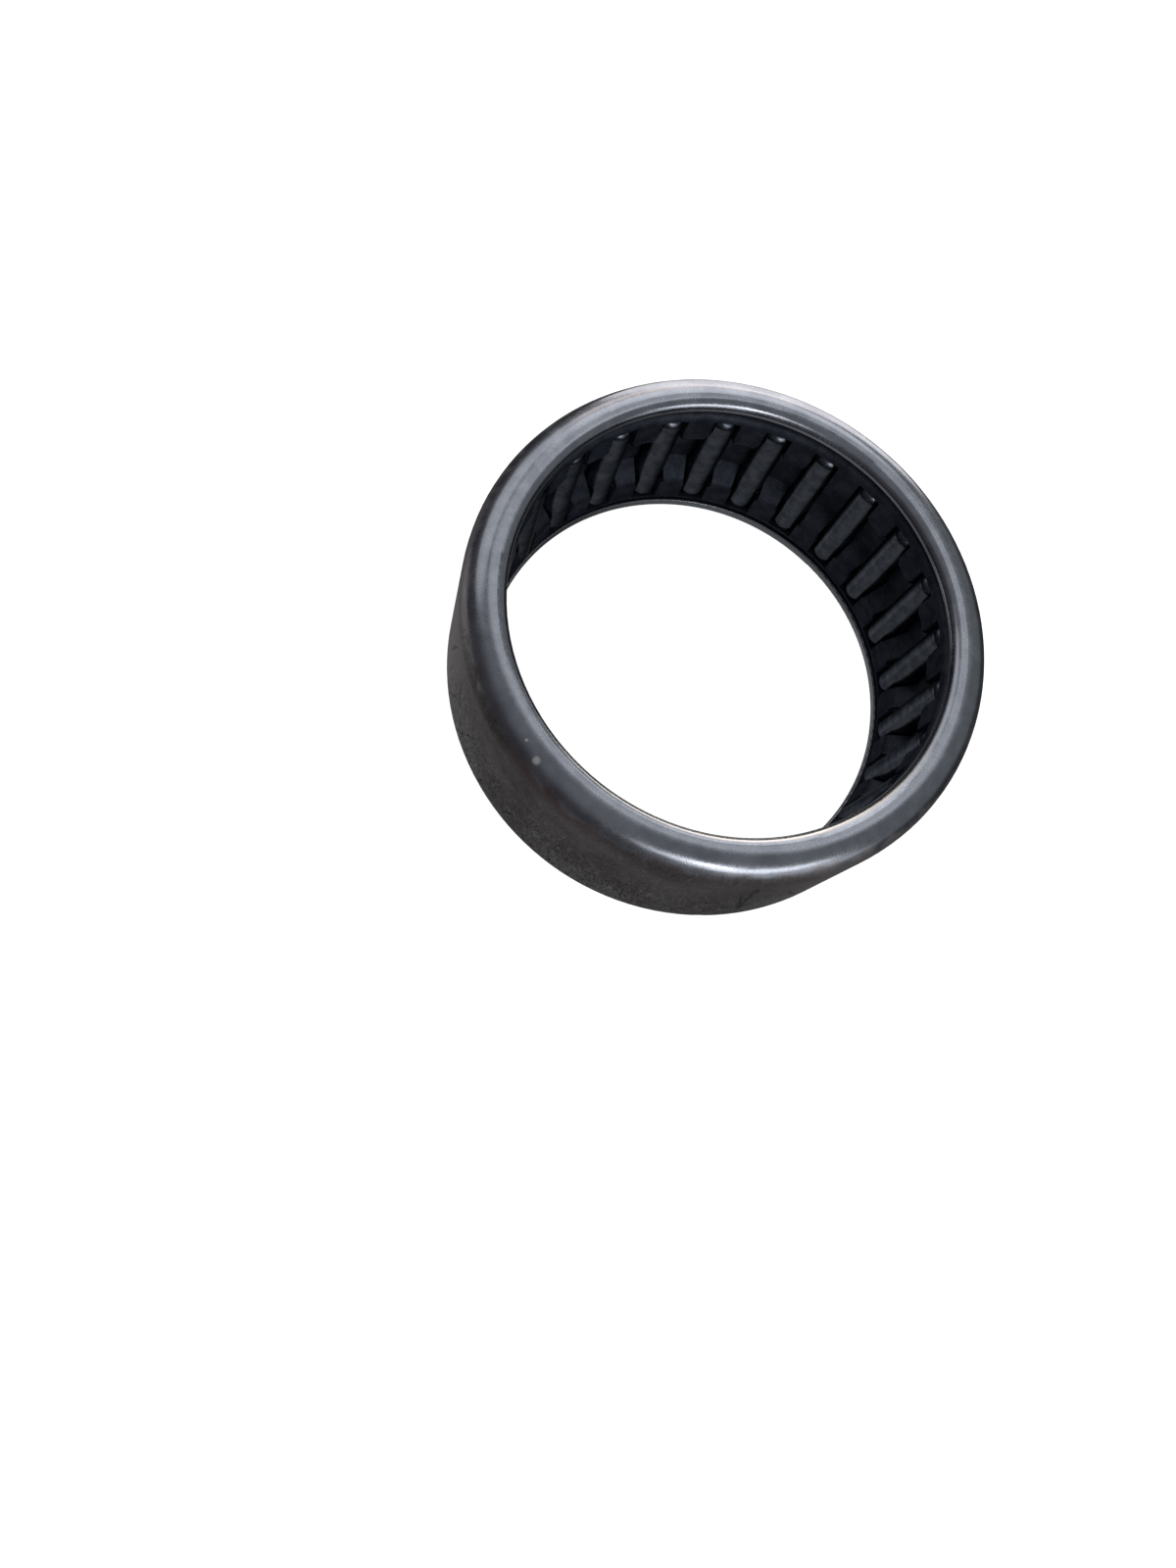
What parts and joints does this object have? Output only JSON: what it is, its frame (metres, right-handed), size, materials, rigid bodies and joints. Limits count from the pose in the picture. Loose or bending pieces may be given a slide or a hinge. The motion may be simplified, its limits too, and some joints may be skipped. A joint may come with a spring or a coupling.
{
  "type": "needle roller bearing",
  "caption": "Drawn cup needle roller bearing with open ends: a thin steel cup with lips turned in, a profiled sheet cage and a full ring of caged needle rollers.",
  "frame": {"origin": "on the bearing axis, halfway between the two end faces", "axes": "+Z along the bearing axis, out through the drawn lip; the curled lip faces -Z, and the bearing lies on it; roller 01 is on +X"},
  "size_m": [0.042, 0.042, 0.016],
  "materials": {
    "cup_steel": "satin, oiled, with fine handling scratches",
    "cage_steel": "dark blued, oily",
    "roller_steel": "ground, smooth"
  },
  "bodies": {
    "cup": {"outer_cup": "cup_steel"},
    "cage": {"cage": "cage_steel"},
    "needle_roller_01": {"needle_roller_01": "roller_steel"},
    "needle_roller_02": {"needle_roller_02": "roller_steel"},
    "needle_roller_03": {"needle_roller_03": "roller_steel"},
    "needle_roller_04": {"needle_roller_04": "roller_steel"},
    "needle_roller_05": {"needle_roller_05": "roller_steel"},
    "needle_roller_06": {"needle_roller_06": "roller_steel"},
    "needle_roller_07": {"needle_roller_07": "roller_steel"},
    "needle_roller_08": {"needle_roller_08": "roller_steel"},
    "needle_roller_09": {"needle_roller_09": "roller_steel"},
    "needle_roller_10": {"needle_roller_10": "roller_steel"},
    "needle_roller_11": {"needle_roller_11": "roller_steel"},
    "needle_roller_12": {"needle_roller_12": "roller_steel"},
    "needle_roller_13": {"needle_roller_13": "roller_steel"},
    "needle_roller_14": {"needle_roller_14": "roller_steel"},
    "needle_roller_15": {"needle_roller_15": "roller_steel"},
    "needle_roller_16": {"needle_roller_16": "roller_steel"},
    "needle_roller_17": {"needle_roller_17": "roller_steel"},
    "needle_roller_18": {"needle_roller_18": "roller_steel"},
    "needle_roller_19": {"needle_roller_19": "roller_steel"},
    "needle_roller_20": {"needle_roller_20": "roller_steel"},
    "needle_roller_21": {"needle_roller_21": "roller_steel"},
    "needle_roller_22": {"needle_roller_22": "roller_steel"},
    "needle_roller_23": {"needle_roller_23": "roller_steel"},
    "needle_roller_24": {"needle_roller_24": "roller_steel"},
    "needle_roller_25": {"needle_roller_25": "roller_steel"}
  },
  "joints": [
    {"name": "cage_spin", "type": "hinge", "parent": "cup", "child": "cage", "pos_m": [0, 0, 0], "axis": [0, 0, 1], "continuous": true},
    {"name": "needle_roller_01_spin", "type": "hinge", "parent": "cage", "child": "needle_roller_01", "pos_m": [0.01877, 0, -0.00053], "axis": [0, 0, 1], "continuous": true},
    {"name": "needle_roller_02_spin", "type": "hinge", "parent": "cage", "child": "needle_roller_02", "pos_m": [0.01818, 0.00467, -0.00053], "axis": [0, 0, 1], "continuous": true},
    {"name": "needle_roller_03_spin", "type": "hinge", "parent": "cage", "child": "needle_roller_03", "pos_m": [0.01644, 0.00904, -0.00053], "axis": [0, 0, 1], "continuous": true},
    {"name": "needle_roller_04_spin", "type": "hinge", "parent": "cage", "child": "needle_roller_04", "pos_m": [0.01368, 0.01285, -0.00053], "axis": [0, 0, 1], "continuous": true},
    {"name": "needle_roller_05_spin", "type": "hinge", "parent": "cage", "child": "needle_roller_05", "pos_m": [0.01005, 0.01584, -0.00053], "axis": [0, 0, 1], "continuous": true},
    {"name": "needle_roller_06_spin", "type": "hinge", "parent": "cage", "child": "needle_roller_06", "pos_m": [0.0058, 0.01785, -0.00053], "axis": [0, 0, 1], "continuous": true},
    {"name": "needle_roller_07_spin", "type": "hinge", "parent": "cage", "child": "needle_roller_07", "pos_m": [0.00118, 0.01873, -0.00053], "axis": [0, 0, 1], "continuous": true},
    {"name": "needle_roller_08_spin", "type": "hinge", "parent": "cage", "child": "needle_roller_08", "pos_m": [-0.00352, 0.01843, -0.00053], "axis": [0, 0, 1], "continuous": true},
    {"name": "needle_roller_09_spin", "type": "hinge", "parent": "cage", "child": "needle_roller_09", "pos_m": [-0.00799, 0.01698, -0.00053], "axis": [0, 0, 1], "continuous": true},
    {"name": "needle_roller_10_spin", "type": "hinge", "parent": "cage", "child": "needle_roller_10", "pos_m": [-0.01196, 0.01446, -0.00053], "axis": [0, 0, 1], "continuous": true},
    {"name": "needle_roller_11_spin", "type": "hinge", "parent": "cage", "child": "needle_roller_11", "pos_m": [-0.01518, 0.01103, -0.00053], "axis": [0, 0, 1], "continuous": true},
    {"name": "needle_roller_12_spin", "type": "hinge", "parent": "cage", "child": "needle_roller_12", "pos_m": [-0.01745, 0.00691, -0.00053], "axis": [0, 0, 1], "continuous": true},
    {"name": "needle_roller_13_spin", "type": "hinge", "parent": "cage", "child": "needle_roller_13", "pos_m": [-0.01862, 0.00235, -0.00053], "axis": [0, 0, 1], "continuous": true},
    {"name": "needle_roller_14_spin", "type": "hinge", "parent": "cage", "child": "needle_roller_14", "pos_m": [-0.01862, -0.00235, -0.00053], "axis": [0, 0, 1], "continuous": true},
    {"name": "needle_roller_15_spin", "type": "hinge", "parent": "cage", "child": "needle_roller_15", "pos_m": [-0.01745, -0.00691, -0.00053], "axis": [0, 0, 1], "continuous": true},
    {"name": "needle_roller_16_spin", "type": "hinge", "parent": "cage", "child": "needle_roller_16", "pos_m": [-0.01518, -0.01103, -0.00053], "axis": [0, 0, 1], "continuous": true},
    {"name": "needle_roller_17_spin", "type": "hinge", "parent": "cage", "child": "needle_roller_17", "pos_m": [-0.01196, -0.01446, -0.00053], "axis": [0, 0, 1], "continuous": true},
    {"name": "needle_roller_18_spin", "type": "hinge", "parent": "cage", "child": "needle_roller_18", "pos_m": [-0.00799, -0.01698, -0.00053], "axis": [0, 0, 1], "continuous": true},
    {"name": "needle_roller_19_spin", "type": "hinge", "parent": "cage", "child": "needle_roller_19", "pos_m": [-0.00352, -0.01843, -0.00053], "axis": [0, 0, 1], "continuous": true},
    {"name": "needle_roller_20_spin", "type": "hinge", "parent": "cage", "child": "needle_roller_20", "pos_m": [0.00118, -0.01873, -0.00053], "axis": [0, 0, 1], "continuous": true},
    {"name": "needle_roller_21_spin", "type": "hinge", "parent": "cage", "child": "needle_roller_21", "pos_m": [0.0058, -0.01785, -0.00053], "axis": [0, 0, 1], "continuous": true},
    {"name": "needle_roller_22_spin", "type": "hinge", "parent": "cage", "child": "needle_roller_22", "pos_m": [0.01005, -0.01584, -0.00053], "axis": [0, 0, 1], "continuous": true},
    {"name": "needle_roller_23_spin", "type": "hinge", "parent": "cage", "child": "needle_roller_23", "pos_m": [0.01368, -0.01285, -0.00053], "axis": [0, 0, 1], "continuous": true},
    {"name": "needle_roller_24_spin", "type": "hinge", "parent": "cage", "child": "needle_roller_24", "pos_m": [0.01644, -0.00904, -0.00053], "axis": [0, 0, 1], "continuous": true},
    {"name": "needle_roller_25_spin", "type": "hinge", "parent": "cage", "child": "needle_roller_25", "pos_m": [0.01818, -0.00467, -0.00053], "axis": [0, 0, 1], "continuous": true}
  ],
  "couplings": [
    {"joint": "needle_roller_01_spin", "follows": "cage_spin", "ratio": -16.024},
    {"joint": "needle_roller_02_spin", "follows": "cage_spin", "ratio": -16.024},
    {"joint": "needle_roller_03_spin", "follows": "cage_spin", "ratio": -16.024},
    {"joint": "needle_roller_04_spin", "follows": "cage_spin", "ratio": -16.024},
    {"joint": "needle_roller_05_spin", "follows": "cage_spin", "ratio": -16.024},
    {"joint": "needle_roller_06_spin", "follows": "cage_spin", "ratio": -16.024},
    {"joint": "needle_roller_07_spin", "follows": "cage_spin", "ratio": -16.024},
    {"joint": "needle_roller_08_spin", "follows": "cage_spin", "ratio": -16.024},
    {"joint": "needle_roller_09_spin", "follows": "cage_spin", "ratio": -16.024},
    {"joint": "needle_roller_10_spin", "follows": "cage_spin", "ratio": -16.024},
    {"joint": "needle_roller_11_spin", "follows": "cage_spin", "ratio": -16.024},
    {"joint": "needle_roller_12_spin", "follows": "cage_spin", "ratio": -16.024},
    {"joint": "needle_roller_13_spin", "follows": "cage_spin", "ratio": -16.024},
    {"joint": "needle_roller_14_spin", "follows": "cage_spin", "ratio": -16.024},
    {"joint": "needle_roller_15_spin", "follows": "cage_spin", "ratio": -16.024},
    {"joint": "needle_roller_16_spin", "follows": "cage_spin", "ratio": -16.024},
    {"joint": "needle_roller_17_spin", "follows": "cage_spin", "ratio": -16.024},
    {"joint": "needle_roller_18_spin", "follows": "cage_spin", "ratio": -16.024},
    {"joint": "needle_roller_19_spin", "follows": "cage_spin", "ratio": -16.024},
    {"joint": "needle_roller_20_spin", "follows": "cage_spin", "ratio": -16.024},
    {"joint": "needle_roller_21_spin", "follows": "cage_spin", "ratio": -16.024},
    {"joint": "needle_roller_22_spin", "follows": "cage_spin", "ratio": -16.024},
    {"joint": "needle_roller_23_spin", "follows": "cage_spin", "ratio": -16.024},
    {"joint": "needle_roller_24_spin", "follows": "cage_spin", "ratio": -16.024},
    {"joint": "needle_roller_25_spin", "follows": "cage_spin", "ratio": -16.024}
  ]
}
